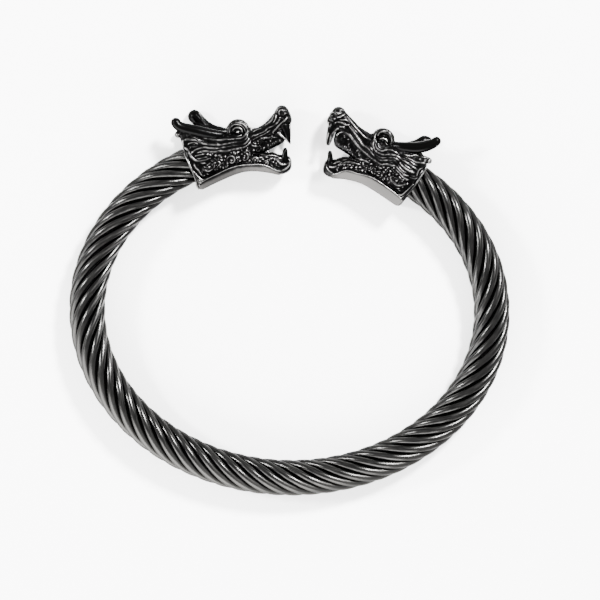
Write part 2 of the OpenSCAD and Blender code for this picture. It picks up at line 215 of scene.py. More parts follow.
# Folds along the far horn, where it shows above the near one
LEFT_FOLDS = (
    (0.14, (4.5, 8.95), (5, 8.2), (5.2, 7.3), (5.32, 6.4), (5.6, 5.6)),
    (0.13, (4.25, 7.95), (4.75, 7.25), (5, 6.5), (5.2, 5.8)),
    (0.14, (3.2, 7.4), (3.7, 6.95), (4.2, 6.45), (4.7, 5.8), (5.3, 5.1)),
    (0.13, (4.3, 8.6), (4.5, 7.9), (4.9, 7.2)),
    (0.12, (5.3, 4.95), (6.1, 4.5), (7, 4.05), (7.9, 3.6)),
)
RIGHT_FOLDS = (
    (0.09, (2.6, 6.9), (3, 6.2), (3.5, 5.4), (4.3, 4.75)),
    (0.09, (4.2, 5.3), (4.9, 4.75), (5.7, 4.3), (6.6, 4)),
    (0.09, (5.1, 4.45), (5.9, 4.05), (6.8, 3.75)),
)
# Height above which a horn stands clear of the brow
HORN_ROOT = 2.4

# Moves of the shorter right head, above and below a band of heights: forward, move forward, move up
UPPER_MOVES = (
    (0, 0, -0.4), (2.5, -0.2, 0), (5, -0.8, 0.6), (8, -1.2, 0.3), (10, -1.2, 0.8), (11.7, -0.9, 1.2),
    (13.5, -0.9, 0.9), (15.5, -0.7, 1), (17, -0.5, 0.3), (19, -0.6, 0.2),
)
LOWER_MOVES = (
    (-0.4, 0.5, -0.65), (0.3, 0.5, -0.7), (4.4, 0.2, -0.8), (8.8, 0, -0.7), (12, -0.6, 0), (13.5, -1, 0.2),
    (15.5, -1.2, -0.2), (17, -1.1, 0.3),
)
MANE_MOVES = ((0, -1.45), (1.5, -1.75), (4, -0.7), (7, 0))
FADE_LOW, FADE_HIGH = -3.5, 1

# Cheek, jaw and palate, filled with small marks: forward, bottom, top
CHEEK = (
    (1.4, -2.9, -0.8), (3, -3, -0.2), (5, -3.1, -0.1), (7, -3.3, -0.3), (9, -3.9, -0.6), (10.8, -5, -1.6),
    (12.4, -6.5, -3), (13.4, -7, -4.4),
)
MOUTH = ((11.2, -2.3, -0.4), (13.5, -2.4, -0.3), (15.8, -2.2, -0.1))
# Number of marks and their size
CHEEK_CRUMBS, MOUTH_CRUMBS = (210, 0.16), (60, 0.1)

# Raised lines on the side of the left head: radius, then forward and height of each point
LEFT_LINES = (
    # locks that sweep back from under the brow
    (0.24, (0.45, 6.25), (1.1, 6.3), (1.95, 5.85), (2.6, 5.15), (3.4, 4.45), (4.2, 3.8), (5, 3.25), (5.7, 2.75),
     (6.4, 2.42), (7.2, 2.1), (8, 1.75), (9, 1.4), (10, 1.12), (10.7, 1.3), (11.2, 1.8)),
    (0.23, (0.7, 4.75), (1.3, 4.95), (2.1, 4.55), (2.8, 4.1), (3.3, 3.4), (4, 2.8), (4.8, 2.35), (5.5, 2), (6.3, 1.6),
     (7, 1.42), (8, 1.15), (9, 0.85), (10, 0.62), (10.8, 0.85), (11.4, 1.4)),
    (0.22, (1, 2.35), (1.5, 2.55), (2.1, 2.68), (2.8, 2.6), (3.6, 2.4), (4.2, 2), (5, 1.55), (5.6, 1.25), (6.3, 1.1),
     (7, 0.85), (8, 0.55), (9, 0.22), (10, 0.1), (10.8, 0.4), (11.4, 0.95)),
    (0.25, (2.1, 2.1), (2.8, 2), (3.5, 1.75), (4, 1.4), (4.4, 1.18), (5, 0.95), (5.6, 0.8), (6.2, 0.5), (7, 0.2),
     (7.9, 0.02), (8.6, -0.2), (9.4, -0.4), (10, -0.42), (10.6, -0.25), (11.1, 0.1)),
    # rims of the brow, which run on from the locks, and lids of the eye
    (0.14, (10.6, 1.24), (10.94, 1.65), (11.04, 2.17), (10.95, 2.78), (10.69, 3.23), (10.28, 3.56), (9.74, 3.78),
     (9.25, 3.7), (8.87, 3.5), (8.55, 3.1), (8.35, 2.7)),
    (0.12, (11.1, 1.29), (11.36, 1.83), (11.4, 2.48), (11.13, 3.16), (10.62, 3.7), (10, 4)),
    (0.12, (11.35, 1.2), (11.62, 1.8), (11.66, 2.64), (11.4, 3.2)),
    (0.12, (8.98, 2.2), (9.15, 2.7), (9.61, 2.98), (10.05, 2.9), (10.4, 2.5), (10.55, 2), (10.5, 1.6)),
    (0.1, (9, 1.85), (9.5, 1.65), (10.1, 1.6), (10.4, 1.75)),
    # locks between them
    (0.15, (3, 5.35), (3.9, 4.7), (4.8, 4), (5.7, 3.4)),
    (0.17, (1.9, 5.2), (2.7, 4.6), (3.2, 3.95), (3.8, 3.35)),
    (0.16, (6.2, 1.95), (7.2, 1.72), (8.2, 1.42), (9.2, 1.1), (10.1, 0.88), (10.9, 1.1), (11.35, 1.7)),
    (0.16, (6.6, 1.2), (7.6, 0.9), (8.6, 0.6), (9.6, 0.36), (10.4, 0.4), (11.1, 0.75)),
    (0.15, (6.5, 0.72), (7.5, 0.42), (8.6, 0.15), (9.6, -0.15), (10.4, -0.12)),
    (0.16, (4.5, 1.75), (5.2, 1.32), (5.8, 1)),
    # tips that curl at the rear edge
    (0.21, (1.05, 5.15), (0.75, 4.9), (0.55, 4.45), (0.5, 4), (0.68, 3.5), (0.86, 3.05)),
    (0.17, (1.1, 3.95), (1.6, 4.08), (2.2, 3.92), (2.6, 3.6), (2.85, 3.2)),
    (0.16, (1.1, 3.15), (1.5, 3.42), (2, 3.28), (2.6, 3), (3.3, 2.9)),
    (0.17, (1.7, 3.6), (2.2, 3.55), (2.5, 3.35)),
    (0.22, (0.86, 3.05), (0.82, 2.5), (0.85, 2), (1, 1.6), (1.25, 1.15), (1.6, 0.85), (2.3, 0.58), (3.1, 0.4),
     (3.7, 0.3)),
    (0.17, (1.15, 1.75), (1.9, 1.68), (2.6, 1.52), (3.3, 1.28)),
    (0.17, (1.3, 1.42), (1.8, 1.1), (2.4, 0.95), (3, 0.82), (3.6, 0.6)),
    (0.15, (1.7, 0.38), (2.2, 0.1), (2.6, -0.12)),
    (0.2, (1.35, 0.2), (1.2, 0)),
    # wavy locks behind the cheek
    (0.2, (1.8, -0.55), (2.05, -1.05), (2.4, -1.45), (2.9, -1.5), (3.4, -1.4), (3.75, -1.15), (3.9, -0.7),
     (4.3, -0.5)),
    (0.15, (0.7, 0.7), (0.7, 0.2), (0.8, -0.3), (1, -0.9), (1.1, -1.4), (1.2, -2)),
    (0.15, (2.5, -0.75), (2.9, -0.5), (3.4, -0.75)),
    (0.15, (4.2, -2), (4.2, -1.5), (4.5, -1.1)),
    (0.15, (4.8, -1.9), (4.9, -1.4), (5.4, -1.3), (5.7, -1.5)),
    (0.15, (4.6, 0.5), (4.8, 0.25), (5.2, 0.1)),
    (0.14, (3.6, 1.2), (3.9, 0.85), (4.1, 0.5)),
    (0.14, (4.2, 0.1), (4.5, -0.3), (5.1, -0.5), (5.4, -0.3)),
    (0.16, (5.6, -2.1), (6.2, -2.3), (6.8, -2.42), (7.5, -2.3), (7.9, -2.6)),
    # cheek bar and the lines to the mouth's corner
    (0.2, (10.9, -0.75), (11.4, -1.1), (11.9, -1.4)),
    (0.17, (10.4, -2.2), (10.9, -2.45), (11.3, -2.6)),
    (0.15, (10.2, -1.3), (10, -1.9), (10.1, -2.3)),
    (0.15, (11.1, -1.9), (11.6, -2.05), (12.1, -2)),
    # lower lip
    (0.25, (11.2, -2.6), (11.8, -3), (12.4, -3.38), (13.1, -3.7), (13.7, -4.05), (14.2, -4.6)),
    (0.17, (12.2, -2.62), (12.8, -2.6), (13.2, -2.95), (13.6, -3.5), (14, -3.95), (14.6, -4.15)),
    (0.15, (12.1, -2.95), (12.7, -3.1), (13.2, -3.35), (13.7, -3.8)),
    # chin swirl
    (0.2, (12.6, -4.7), (12.5, -5.3), (12.8, -6), (13.3, -6.55), (14, -6.75), (14.8, -6.65), (15.35, -6.3),
     (15.6, -5.8), (15.45, -5.3)),
    (0.19, (13.5, -4.45), (13.75, -5.1), (14.1, -5.75), (14.6, -6.05), (15.1, -6.15)),
    (0.15, (13.05, -4.9), (13.2, -5.5), (13.6, -6.1)),
    (0.14, (14.5, -5.5), (14.8, -5.35), (15.1, -5.55), (15, -5.85)),
    (0.17, (13.9, -4.3), (14.3, -4.75), (14.8, -4.95)),
    # snout
    (0.16, (12, 1.2), (12.8, 1.2), (13.6, 1.15)),
    (0.2, (11.2, 0.35), (11.7, 0.62), (12.3, 0.52), (13, 0.5), (13.9, 0.5), (14.6, 0.72), (15.5, 0.72), (16.3, 0.85),
     (16.9, 1.15), (17.25, 1.5)),
    (0.16, (11.4, 0), (12.2, 0.12), (13.2, 0.1), (14.2, 0.15), (15, 0.3)),
    (0.22, (15.1, -0.2), (15.7, 0), (16.4, 0.32), (17.2, 0.6), (17.9, 0.75), (18.4, 1.05)),
    (0.2, (16.2, -0.15), (17, -0.25), (17.8, -0.12), (18.5, -0.15)),
    (0.17, (14.4, 1.35), (15.3, 1.45), (16, 1.75), (16.5, 2.3)),
    (0.16, (15.7, 1.15), (16.3, 1.45), (16.75, 2), (17.05, 2.6)),
    (0.15, (16.35, 2.35), (16.65, 2.75), (16.95, 3.1)),
    (0.15, (12.1, -0.45), (12.9, -0.4), (13.6, -0.6), (14.2, -0.85), (14.8, -1.1), (15.4, -1.4)),
    # nose
    (0.19, (17.05, 1.9), (17.15, 2.5), (17.55, 2.9), (18.2, 2.95)),
    (0.17, (17.55, 1.65), (17.45, 2.2), (17.75, 2.55), (18.15, 2.5)),
    (0.17, (17.9, 1.6), (18.3, 1.75), (18.65, 1.6)),
)

# Raised lines on the side of the right head
RIGHT_LINES = (
    # locks that sweep back from under the brow
    (0.2, (5.2, 2.4), (6, 2.48), (6.8, 2.3), (7.5, 1.85), (7.95, 1.4), (8.5, 1.25), (9.1, 1.32), (9.5, 1.7),
     (9.85, 2.3)),
    (0.22, (4.3, 2.05), (5.2, 2.1), (6, 1.9), (6.7, 1.5), (7.3, 1), (8, 0.78), (8.8, 0.72), (9.4, 1.05), (9.85, 1.7),
     (10.1, 2.3)),
    (0.22, (4.4, 1.55), (5.2, 1.65), (6, 1.3), (6.7, 0.8), (7.3, 0.4), (8.1, 0.22), (8.9, 0.32), (9.5, 0.7),
     (10, 0.95)),
    (0.23, (4.5, 1), (5.3, 1.25), (6, 0.8), (6.7, 0.3), (7.4, -0.1), (8.3, -0.22), (9, 0), (9.7, 0.28), (10.5, 0.38),
     (11.2, 0.35), (12, 0.65), (13, 1), (14, 1.38), (14.8, 1.62)),
    (0.22, (4.3, 0.85), (5, 0.35), (5.6, 0.15), (6.2, -0.1), (6.8, -0.55), (7.5, -0.68), (8.2, -0.6), (9, -0.62),
     (10, -0.5), (11, -0.4), (12, -0.2), (13, 0.15), (14, 0.45), (14.9, 0.45)),
    (0.16, (5.6, 1.65), (6.3, 1.32), (7, 0.75), (7.8, 0.5), (8.7, 0.5), (9.3, 0.85)),
    (0.16, (5.6, 1), (6.4, 0.5), (7.1, 0.05), (8.2, -0.02), (8.9, 0.16)),
    (0.15, (5, 0.7), (5.8, 0.5), (6.4, 0.15), (7.1, -0.35), (8, -0.42), (9, -0.3), (10, -0.1), (10.9, 0.1)),
    (0.15, (11, 0.15), (12, 0.3), (13, 0.62), (14, 0.95)),
    # rims of the brow, which run on from the locks, and lids of the eye
    (0.15, (9.3, 1.5), (9.63, 2.09), (9.85, 2.64), (10.03, 3.22), (10, 3.75), (9.65, 4.25), (9.12, 4.45)),
    (0.13, (9.9, 1.85), (10.18, 2.4), (10.38, 3), (10.35, 3.6)),
    (0.12, (9.12, 4.6), (8.57, 4.57), (8, 4.25), (7.54, 3.75), (7.25, 3.3)),
    (0.13, (9.34, 3.5), (9.03, 3.75), (8.57, 4), (8.1, 3.75)),
    (0.12, (9.29, 2), (9.17, 2.44), (8.92, 2.82), (8.6, 2.95), (8.04, 2.75), (7.65, 2.7)),
    (0.12, (8.94, 1.72), (8.57, 1.56), (8.12, 1.66), (7.75, 2.03), (7.61, 2.3)),
    # fan of locks towards the collar
    (0.24, (0.25, 4.55), (0.9, 4.68), (1.5, 4.45), (2.2, 4.15), (2.8, 4), (3.4, 3.45), (4.1, 3.1), (4.7, 3)),
    (0.2, (0.4, 4.75), (0.9, 5), (1.5, 4.95), (2.1, 4.75), (2.7, 4.35)),
    (0.2, (0.45, 3.7), (0.9, 3.72), (1.5, 3.42), (2.2, 3.05), (3, 2.95), (3.8, 2.78), (4.5, 2.6)),
    (0.16, (1.4, 2.62), (2.3, 2.6), (3.2, 2.6), (4, 2.42), (4.6, 2.3)),
    (0.17, (1, 2.05), (2, 2.15), (3, 2.12), (4, 2.1), (4.5, 1.95)),
    (0.16, (1.9, 1.65), (2.6, 1.6), (3.3, 1.6), (4, 1.65)),
    (0.19, (1.1, 1.42), (1.7, 1.35), (2.5, 1.2), (3.4, 1.2), (4.2, 1.38), (4.8, 1.7)),
    (0.16, (2.2, 0.65), (3, 0.57), (3.8, 0.72), (4.4, 0.95)),
    (0.17, (1.8, 0.4), (2.6, 0.2), (3.4, 0.27), (4.2, 0.48), (4.9, 0.5)),
    (0.17, (1.2, 0.05), (1.8, -0.28), (2.5, -0.3), (3.3, -0.1), (4.2, 0), (4.7, -0.1)),
    (0.17, (1.9, -0.35), (2.2, -0.65), (2.7, -0.76), (3.3, -0.6)),
    (0.19, (0.45, 3.35), (0.42, 2.7), (0.42, 2), (0.38, 1.4), (0.5, 0.95), (0.95, 0.6), (1.5, 0.32)),
    (0.17, (0.7, 2.9), (0.95, 2.3), (0.8, 1.6), (0.75, 1.1), (1.1, 0.85), (1.7, 0.7)),
    # wavy locks behind the cheek
    (0.21, (1.2, -0.75), (1.6, -1.15), (2, -1.55), (2.5, -1.88), (3.2, -1.95), (3.9, -1.78), (4.15, -1.5),
     (4.15, -1)),
    (0.17, (2.5, -1.35), (3, -1.2), (3.3, -1.05)),
    (0.15, (3.5, -0.9), (3.8, -0.65), (4.1, -0.45)),
    (0.15, (4.5, -0.75), (4.8, -0.65), (5.2, -0.52)),
    (0.14, (4.4, -2.2), (4.5, -1.8), (4.65, -1.5)),
    (0.14, (4.8, -2.15), (4.95, -1.75), (5.1, -1.4)),
    (0.15, (5.2, -1.05), (5.6, -0.95), (6, -1.05)),
    (0.16, (5.5, -2.2), (6.2, -2.4), (6.9, -2.55)),
    (0.14, (6.4, -1.65), (6.9, -1.4)),
    (0.17, (7.5, -1.8), (7.8, -2.1), (8.15, -2.4)),
    (0.16, (8.4, -3.1), (8.8, -3.32), (9.2, -3.45)),
    (0.14, (9.3, -3.6), (9.8, -3.75), (10.3, -4.1)),
    # lines of the lower jaw
    (0.2, (8.4, -1.6), (9.2, -1.6), (10, -1.82), (10.7, -2.1), (11.4, -2.42), (12, -2.75), (12.6, -3.3),
     (13.2, -3.75), (13.8, -3.9)),
    (0.19, (9.4, -2.62), (10, -2.82), (10.8, -3.1), (11.4, -3.35), (11.9, -3.8), (12.2, -4.5), (12.35, -5.15)),
    (0.15, (10, -2.3), (10.8, -2.62), (11.6, -2.95), (12.2, -3.5), (12.7, -3.95)),
    (0.15, (8.7, -1.9), (8.75, -2.25), (8.9, -2.45)),
    (0.18, (12.3, -3.95), (12.8, -4.3), (13.2, -4.8), (13.4, -5.2)),
    (0.19, (12.6, -4.75), (12.9, -5.3), (13.3, -5.7), (13.75, -5.9)),
    (0.18, (11.75, -4), (11.35, -3.85), (11.05, -4.2), (11.05, -4.95), (11.35, -5.55), (11.8, -5.7), (12.2, -5.45)),
    (0.14, (11.4, -4.3), (11.55, -4.65), (11.75, -4.95)),
    (0.16, (11.5, -6.2), (12.2, -6.35), (13, -6.5), (13.8, -6.35), (14.4, -5.9)),
    # snout
    (0.17, (11, 1.6), (12, 1.68), (13, 1.88), (14, 2.12), (15, 2.4), (16.1, 2.78)),
    (0.15, (12.5, 1.4), (13.5, 1.55), (14.7, 1.8)),
    (0.15, (12.2, -0.45), (12.9, -0.2), (13.8, -0.05)),
    (0.18, (15, 1.78), (15.6, 1.48), (16.2, 1.42), (16.8, 1.15), (17.12, 0.7), (17.05, 0.2)),
    (0.15, (15.4, 2.2), (16, 2.15), (16.5, 1.8), (16.9, 1.6)),
    (0.2, (14.9, 0.55), (15.3, 0.2), (15.55, -0.3), (15.6, -0.9)),
    (0.17, (15.1, 0.8), (15.6, 0.95), (16.1, 0.7)),
    # nose
    (0.2, (16.6, 3.2), (16.7, 2.65), (17.05, 2.1), (17.4, 1.75)),
    (0.17, (17.1, 2.75), (17.6, 2.4), (18, 2.35)),
    (0.16, (18.35, 1), (18.5, 1.6), (18.45, 2.1)),
    (0.16, (16.95, 3.25), (17.5, 3.1), (18, 2.85)),
)

# Raised lines over the bridge of the snout, the forehead and the crown: radius, then forward and side of each point
CROWN_LINES = (
    (0.17, (17.6, 0.3), (16.4, 0.42), (14.8, 0.35), (13, 0.45), (11.6, 0.8), (11, 1.2)),
    (0.14, (17.2, 0.85), (16, 0.95), (14.5, 0.9), (12.9, 1.05), (11.9, 1.4)),
    (0.18, (11.9, 0.1), (11, 0.4), (10, 0.2), (9, 0.45), (8, 0.2), (7.2, 0.1)),
    (0.15, (10.9, 0.85), (10, 0.75), (9.1, 0.95), (8.2, 0.8), (7.4, 0.6)),
    (0.16, (7.6, 0.55), (6.6, 0.75), (5.4, 0.5), (4, 0.85), (2.6, 0.5), (1.2, 0.75), (0.4, 0.6)),
    (0.16, (7.2, 1.15), (6, 1.35), (4.8, 1.05), (3.2, 1.4), (1.6, 1.1), (0.5, 1.35)),
    (0.13, (6.9, 0.1), (5.6, 0.05), (4.2, 0.3), (2.8, 0.05), (1.4, 0.25), (0.5, 0.1)),
)

# Curls: forward, height, radius of the ring, radius of its line
LEFT_CURLS = (
    (6.75, -1.5, 0.85, 0.22), (8.95, -2, 0.95, 0.23), (10.45, -3.3, 0.6, 0.19), (11.8, -4.5, 0.52, 0.18),
    (3.1, -1, 0.36, 0.15), (9.8, -0.9, 0.36, 0.15), (5.5, -1.9, 0.5, 0.17), (4.5, -1.1, 0.45, 0.16),
    (7.85, -2.75, 0.42, 0.16),
)
RIGHT_CURLS = (
    (5.6, -1.35, 0.3, 0.12), (7.6, -2, 0.42, 0.14), (9.15, -2.1, 0.35, 0.14), (2.9, -1.4, 0.45, 0.14),
)

# Lights, which all point at the middle: name, place, width and height, power
LIGHTS = (
    ("key", (0.3, 0.38, 0.5), (0.1, 0.1), 31),
    ("fill", (-0.5, 0.15, 0.4), (0.1, 0.1), 12),
    ("low", (-0.25, -0.52, 0.27), (1, 0.5), 33),
)
SKY_STRENGTH = 2.3
# Camera: lean from straight above, point it looks at, distance in metres, and width of its frame there
TILT, AIM, REACH = math.radians(4), Vector((1.8, 0.17, 3.5)) * MM, 0.6
FRAME_WIDTH = 102.3


# ---------------- tools of the bench

def deselect():
    if bpy.context.object and bpy.context.object.mode != "OBJECT":
        leave()
    bpy.ops.object.select_all(action="DESELECT")


def take(*pieces):
    """Selects pieces and makes the last of them the active one."""
    deselect()
    for piece in pieces:
        piece.select_set(True)
    bpy.context.view_layer.objects.active = pieces[-1]


def edit():
    bpy.ops.object.mode_set(mode="EDIT")
    bpy.ops.mesh.select_all(action="SELECT")


def leave():
    bpy.ops.object.mode_set(mode="OBJECT")


def named(name):
    """Names the piece that was just made."""
    bpy.context.object.name = name
    return bpy.context.object


def pick(piece, test):
    """Opens a piece for editing with only the points that pass a test selected."""
    take(piece)
    picked = [test(vertex.co) for vertex in piece.data.vertices]
    piece.data.vertices.foreach_set("select", picked)
    for parts in (piece.data.edges, piece.data.polygons):
        parts.foreach_set("select", [all(picked[i] for i in part.vertices) for part in parts])
    bpy.ops.object.mode_set(mode="EDIT")


def join(name, *pieces):
    take(*pieces)
    bpy.ops.object.join()
    bpy.ops.object.transform_apply()
    return named(name)


def finish_with(piece, kind, **values):
    """Adds a modifier, sets its values and applies it."""
    take(piece)
    bpy.ops.object.modifier_add(type=kind)
    modifier = piece.modifiers[-1]
    for key, value in values.items():
        setattr(modifier, key, value)
    bpy.ops.object.modifier_apply(modifier=modifier.name)


def outward_faces(piece):
    take(piece)
    edit()
    bpy.ops.mesh.remove_doubles(threshold=0.0001)
    bpy.ops.mesh.normals_make_consistent(inside=False)
    leave()


def turn(angle, centre):
    """Turns the selection about Z; without a window the operator turns the other way."""
    bpy.ops.transform.rotate(value=-angle, orient_axis="Z", center_override=centre)


def settle(piece, place, look):
    """Brings a piece from millimetres in its own frame to its place in metres, and gives it its finish."""
    take(piece)
    piece.matrix_world = Matrix.Scale(MM, 4) @ place
    bpy.ops.object.transform_apply()
    piece.data.materials.append(look)


def read(parts, name, width, kind=float):
    """Values that a mesh's points or edges hold, as the rows of an array."""
    values = np.empty(len(parts) * width, dtype=kind)
    parts.foreach_get(name, values)
    return values.reshape(-1, width)


def floats(mesh, name, values):
    mesh.attributes.new(name, "FLOAT", "POINT").data.foreach_set("value", np.asarray(values, dtype=np.float32))


def clamped(value):
    return min(1, max(0, value))


# ---------------- the hoop's line

def hoop_angle(share):
    """Angle round the hoop at a share of the way from the left head round to the right one."""
    return math.radians(LEFT_END + (360 + RIGHT_END - LEFT_END) * share)


def turned(x, y):
    a = math.radians(HOOP_TURN)
    return Vector((x * math.cos(a) + y * math.sin(a), y * math.cos(a) - x * math.sin(a), 0))


def middle(share):
    a = hoop_angle(share)
    return HOOP_MIDDLE + turned(HOOP_LONG * math.cos(a), HOOP_SHORT * math.sin(a))


def along(share):
    a = hoop_angle(share)
    return turned(-HOOP_LONG * math.sin(a), HOOP_SHORT * math.cos(a)).normalized()


def outward(share):
    d = along(share)
    return Vector((d.y, -d.x, 0))


def facing(share, way):
    """Direction in which a head points, leaning a little outwards from the cable's end."""
    lean = math.radians(NOD)
    return along(share) * way * math.cos(lean) + outward(share) * math.sin(lean)


SHARES = np.linspace(-PAST_END, 1 + PAST_END, CABLE_STEPS)
MIDDLES = np.array([middle(share) for share in SHARES])
LENGTHS = np.concatenate(([0], np.cumsum(np.linalg.norm(np.diff(MIDDLES, axis=0), axis=1))))
FIRST_LENGTH, LAST_LENGTH = np.interp((0, 1), SHARES, LENGTHS)
LENGTHS = (LENGTHS - FIRST_LENGTH) / (LAST_LENGTH - FIRST_LENGTH)


def lay_turns(shares):
    """Turns of the lay, carried on past both ends at the same rate and eased between the table's rows."""
    ways, turns = LAY
    first, last = turns[1] / ways[1], (turns[-1] - turns[-2]) / (ways[-1] - ways[-2])
    ways = (-LAY_PAST, *ways, 1 + LAY_PAST)
    turns = (-LAY_PAST * first, *turns, turns[-1] + LAY_PAST * last)
    return np.mean([np.interp(shares + d, ways, turns) for d in np.linspace(-LAY_EASE, LAY_EASE, 9)], axis=0)


# ---------------- cable

def tube(name, paths, sides=3, steps=5):
    """Round tubes along smooth lines, each point with its own radius, with closed ends."""
    deselect()
    bpy.ops.curve.primitive_bezier_curve_add()
    line = named(name).data
    line.splines.clear()
    line.dimensions = "3D"
    line.resolution_u = steps
    line.bevel_depth = 1
    line.bevel_resolution = sides
    line.use_fill_caps = True
    for path in paths:
        spline = line.splines.new("BEZIER")
        spline.bezier_points.add(len(path) - 1)
        for point, (*place, radius) in zip(spline.bezier_points, path):
            point.co = place
            point.radius = radius
            point.handle_left_type = point.handle_right_type = "AUTO"
    bpy.ops.object.convert(target="MESH")
    return bpy.context.object


def wire(number):
    """One wire of the cable, wound round the core and cut off at the heads' back faces."""
    path = []
    for share, turned_by in zip(SHARES, lay_turns(LENGTHS)):
        a = math.radians(LAY_START + 360 * number / WIRES - 360 * turned_by)
        at = middle(share) + outward(share) * LAY_RADIUS * math.cos(a) + Vector((0, 0, LAY_RADIUS * math.sin(a)))
        path.append((*at, WIRE_RADIUS))
    piece = tube(f"wire_{number}", [path], sides=6, steps=1)
    mark_lay(piece, np.array(path)[:, :3])
    for share, way in ENDS:
        end, d = middle(share), facing(share, way)
        pick(piece, lambda co: (co - end).length < CUT_REACH)
        bpy.ops.mesh.bisect(plane_co=end - d * JOINT_GAP, plane_no=d, use_fill=True, clear_outer=True)
        leave()
    return piece


def mark_lay(piece, path):
    """Writes where each point lies along, out from and beside its wire's middle line, and how much painted sheen it
    gets on the outside facing the lower left.
    """
    co = read(piece.data.vertices, "co", 3)
    station = np.minimum(np.arange(len(co)) // (len(co) // CABLE_STEPS), CABLE_STEPS - 1)
    off = co - path[station]
    out = (path - MIDDLES) / LAY_RADIUS
    side = np.cross([along(share) for share in SHARES], out)
    rows = [LENGTHS[station] * CABLE_LENGTH, (off * out[station]).sum(axis=1), (off * side[station]).sum(axis=1)]
    lay = piece.data.attributes.new("lay", "FLOAT_VECTOR", "POINT")
    lay.data.foreach_set("vector", np.stack(rows, axis=1).ravel())
    away = np.array([outward(share) for share in SHARES])[station]
    reach = ((co - MIDDLES[station]) * away).sum(axis=1) / (LAY_RADIUS + WIRE_RADIUS)
    painted_sheen = np.clip((reach - PAINTED_SHEEN_FROM) / (PAINTED_SHEEN_TO - PAINTED_SHEEN_FROM), 0, 1)
    floats(piece.data, "painted_sheen", painted_sheen * np.clip(away @ PAINTED_SHEEN_SIDE, 0, 1) ** PAINTED_SHEEN_EDGE)


# ---------------- heads

def casting_moves(point, short):
    """Where the shorter casting has a place of the longer one."""
    x, y = point
    if not short:
        return x, y
    fade = clamped((y - FADE_LOW) / (FADE_HIGH - FADE_LOW))
    up, low = np.array(UPPER_MOVES).T, np.array(LOWER_MOVES).T
    forward, lift = (np.interp(x, up[0], up[i]) * fade + np.interp(x, low[0], low[i]) * (1 - fade) for i in (1, 2))
    return x + forward, y + lift


def first_section(name):
    """Flat square across a head, open for editing, from which a form is drawn out."""
    deselect()
    bpy.ops.mesh.primitive_plane_add(size=2, rotation=(0, math.pi / 2, 0))
    form = named(name)
    bpy.ops.object.transform_apply()
    edit()
    return form


def sweep(name, sections, rounding=0.6):
    """Closed form through sections: top point, bottom point, middle of the width, half width."""
    form = first_section(name)
    bpy.ops.mesh.bevel(offset=rounding, segments=5, affect="VERTICES")
    bpy.ops.mesh.select_all(action="SELECT")
    tilt, height, width, at = 0, 1, 1, Vector((0, 0, 0))
    for number, (top, bottom, z, half) in enumerate(sections):
        top, bottom = Vector((*top, 0)), Vector((*bottom, 0))
        goal = (top + bottom) / 2 + Vector((0, 0, z))
        up = top - bottom
        new_tilt, new_height = math.atan2(-up.x, up.y), up.length / 2
        if number:
            bpy.ops.mesh.extrude_region_move(TRANSFORM_OT_translate={"value": (0, 0, 0)})
        turn(-tilt, at)
        bpy.ops.transform.resize(value=(1, new_height / height, half / width), center_override=at)
        turn(new_tilt, at)
        bpy.ops.transform.translate(value=goal - at)
        tilt, height, width, at = new_tilt, new_height, half, goal
    leave()
    outward_faces(form)
    finish_with(form, "SUBSURF", levels=2, render_levels=2)
    return form


def plate(short):
    """Smooth plate along the underside, with its slanted rims."""
    form = first_section("plate")
    bpy.ops.mesh.subdivide(number_cuts=1)
    bpy.ops.mesh.select_all(action="SELECT")
    for _ in PLATE[1:]:
        bpy.ops.mesh.extrude_region_move(TRANSFORM_OT_translate={"value": (1, 0, 0)})
    leave()
    # Each section has three rows of points: the flat underside, the rim and the top behind it
    for vertex in form.data.vertices:
        low_x, low_y, rim_x, rim_y, half = PLATE[round(vertex.co.x)]
        row, side = round(vertex.co.y), vertex.co.z
        rows = {-1: (low_x, low_y, PLATE_BEVEL), 0: (rim_x, rim_y, 0), 1: (rim_x, rim_y + PLATE_TOP, PLATE_TOP_IN)}
        *place, inset = rows[row]
        x, y = casting_moves(place, short)
        if short and row < 0:
            y -= SHORT_PLATE_DROP if low_x < CHIN else SHORT_CHIN_DROP
        vertex.co = (x, y, side * (half - inset))
    outward_faces(form)
    finish_with(form, "BEVEL", width=0.12, segments=2, limit_method="ANGLE", angle_limit=math.radians(25))
    finish_with(form, "SUBSURF", levels=1, render_levels=1)
    return form


def on_side(form, x, y):
    """Point on the side of a form, or the nearest point of its outline where the place is just off it."""
    hit, place, *_ = form.ray_cast(Vector((x, y, FAR)), Vector((0, 0, -1)))
    if hit and place.z > SIDE_FROM:
        return place
    return form.closest_point_on_mesh(Vector((x, y, OUTLINE_FROM)))[1]


def laid(form, x, y, radius):
    """Middle of a line that lies on the side of a form, a little sunk into it."""
    place = on_side(form, x, y)
    return place.x, place.y, place.z - radius * LINE_SUNK


def raised_lines(name, lines, lay, end=LINE_END):
    """Raised lines, thinner at both ends, whose points are laid on a form one after the other."""
    paths = []
    for radius, *points in lines:
        path = []
        for number, point in enumerate(points):
            place = lay(*point, radius, path)
            if place:
                path.append((*place, radius * (end if number in (0, len(points) - 1) else 1)))
        paths.append(path)
    return tube(name, paths)


def over(form, x, z, radius):
    """Middle of a line that lies on the top of a form, or nothing beside it."""
    hit, place, *_ = form.ray_cast(Vector((x, FAR, z)), Vector((0, -1, 0)))
    return (x, place.y - radius * CROWN_SUNK, z) if hit else None


def fold(form, x, y, side, radius, before):
    """Middle of a line on the side of a horn, or as high as the point before where it is beside the horn."""
    hit, place, *_ = form.ray_cast(Vector((x, y, FAR * side)), Vector((0, 0, -side)))
    z = place.z if hit else (before[-1][2] if before else -2 * side)
    return x, y, z - side * radius * FOLD_SUNK


def coil(middle_of_coil, steps, start, by, reach, thick):
    """Line that coils round a place: first angle, turn of each step, and radius and thickness at a step."""
    x, y, z = middle_of_coil
    path = []
    for step in range(steps):
        a, r = math.radians(start - by * step), reach(step)
        path.append((x + r * math.cos(a), y + r * math.sin(a), z, thick(step)))
    return path


